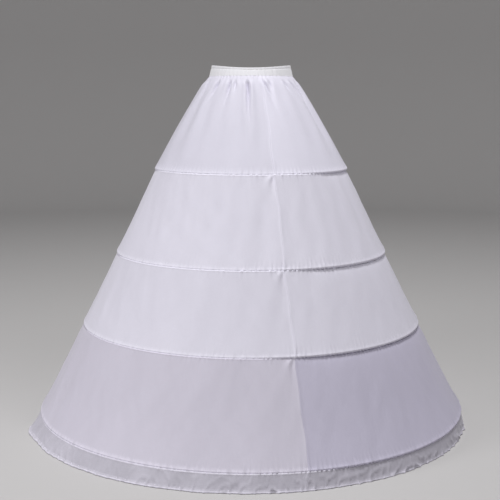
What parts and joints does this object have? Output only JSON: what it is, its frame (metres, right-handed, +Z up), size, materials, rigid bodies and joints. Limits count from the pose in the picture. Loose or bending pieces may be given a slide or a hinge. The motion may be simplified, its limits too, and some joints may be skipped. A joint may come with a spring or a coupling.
{
  "type": "hoop petticoat",
  "caption": "A-line cloth petticoat with hoops in sewn tunnels, an elastic gathered waistband and a narrow frill at the hem, worn to hold out a full skirt.",
  "frame": {"origin": "on the skirt's axis at the level of the hem, where it meets the floor", "axes": "+Z up along the skirt's axis, -Y towards the front, +X towards the right of someone who faces the front"},
  "size_m": [1.3082, 1.3082, 1.05],
  "materials": {
    "cloth": "smooth taffeta",
    "elastic": "ribbed",
    "hoop_tube": "satin",
    "pin": "satin"
  },
  "bodies": {
    "root": {"waistband": "cloth", "tier_1_right": "cloth", "tier_1_left": "cloth", "tier_2_right": "cloth", "tier_2_left": "cloth", "tier_3_right": "cloth", "tier_3_left": "cloth", "tier_4_right": "cloth", "tier_4_left": "cloth", "frill_right": "cloth", "frill_left": "cloth", "waist_elastic": "elastic", "hoop_1": "hoop_tube", "hoop_2": "hoop_tube", "hoop_3": "hoop_tube", "hoop_4": "hoop_tube", "hoop_pin_1": "pin", "hoop_pin_2": "pin", "hoop_pin_3": "pin", "hoop_pin_4": "pin"}
  },
  "joints": []
}
